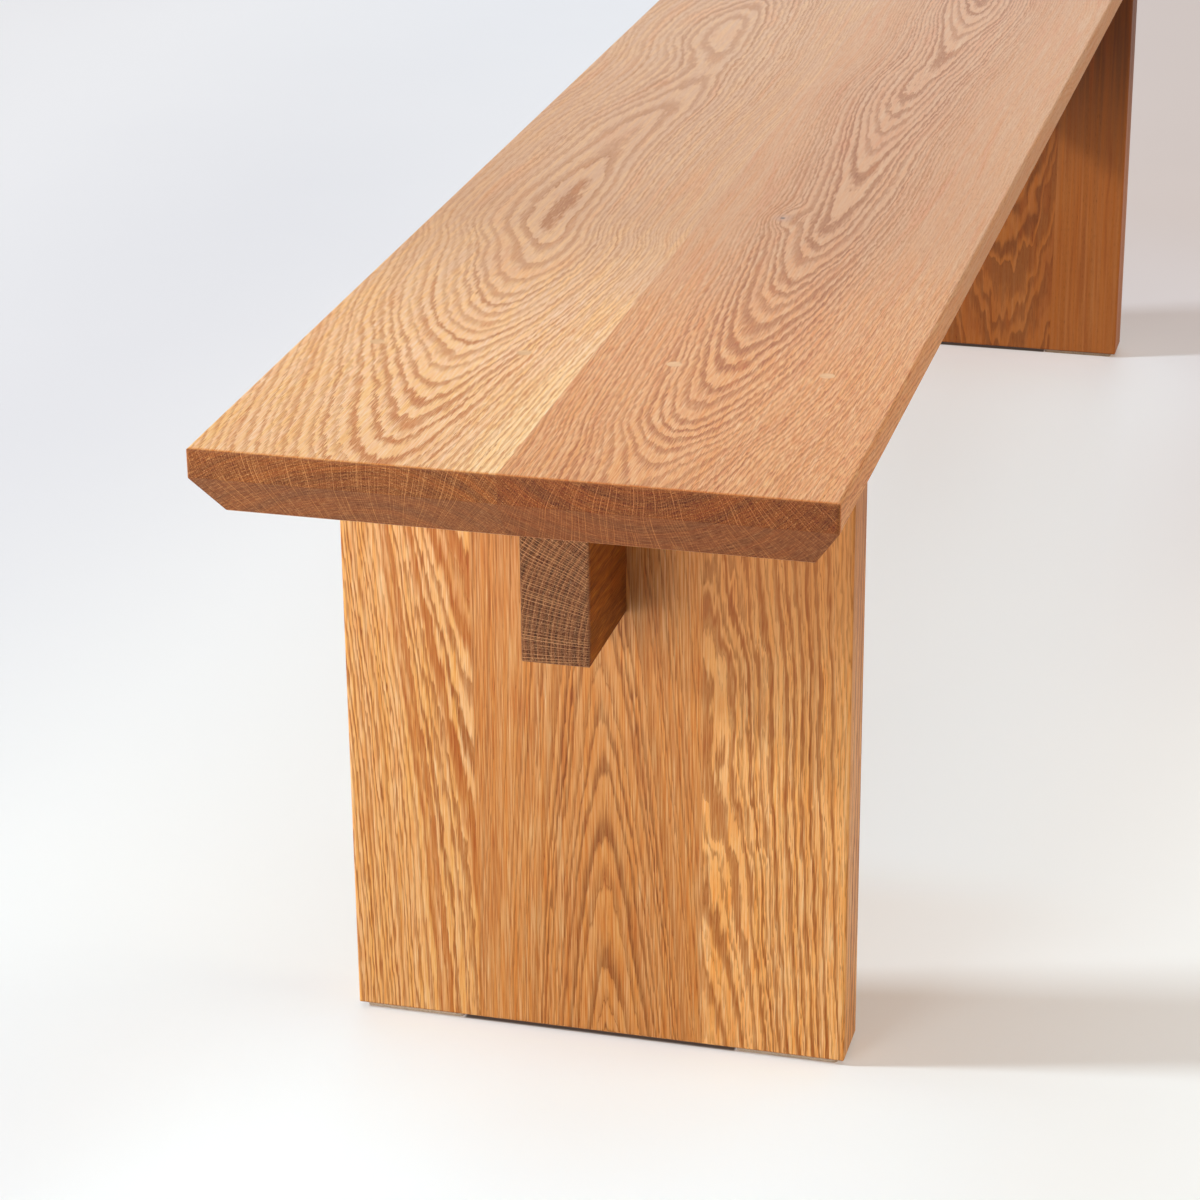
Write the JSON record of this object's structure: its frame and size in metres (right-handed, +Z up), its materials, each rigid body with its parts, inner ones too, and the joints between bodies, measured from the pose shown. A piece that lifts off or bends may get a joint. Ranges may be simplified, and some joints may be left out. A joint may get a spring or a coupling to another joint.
{
  "type": "bench",
  "caption": "Long solid oak bench: flat seat with bevelled undersides on solid end legs, tied by a beam on edge that passes through them.",
  "frame": {"origin": "centre of the footprint, on the floor that the pads rest on", "axes": "+X along the seat towards the end that is far from the camera, +Y from the front edge to the back edge, +Z up"},
  "size_m": [1.8, 0.37, 0.45],
  "materials": {
    "oak_seat_front": "matt oil",
    "oak_seat_back": "matt oil",
    "oak_left_leg_front": "matt oil",
    "oak_left_leg_middle": "matt oil",
    "oak_left_leg_back": "matt oil",
    "oak_right_leg_front": "matt oil",
    "oak_right_leg_middle": "matt oil",
    "oak_right_leg_back": "matt oil",
    "oak_beam": "matt oil",
    "oak_plug": "matt oil",
    "beech_tenon": "bare",
    "felt_pad": "pressed felt",
    "screw_steel": "zinc"
  },
  "bodies": {
    "root": {"top_board_front": "oak_seat_front", "top_board_back": "oak_seat_back", "top_board_tenons": "beech_tenon", "seat_plugs": "oak_plug", "leg_screws": "screw_steel", "left_leg_front_stave": "oak_left_leg_front", "left_leg_middle_stave": "oak_left_leg_middle", "left_leg_back_stave": "oak_left_leg_back", "left_leg_stave_tenons": "beech_tenon", "left_leg_top_tenons": "beech_tenon", "left_leg_front_pad": "felt_pad", "left_leg_back_pad": "felt_pad", "right_leg_front_stave": "oak_right_leg_front", "right_leg_middle_stave": "oak_right_leg_middle", "right_leg_back_stave": "oak_right_leg_back", "right_leg_stave_tenons": "beech_tenon", "right_leg_top_tenons": "beech_tenon", "right_leg_front_pad": "felt_pad", "right_leg_back_pad": "felt_pad", "stretcher_beam": "oak_beam", "beam_screws": "screw_steel", "beam_washers": "screw_steel"}
  },
  "joints": []
}
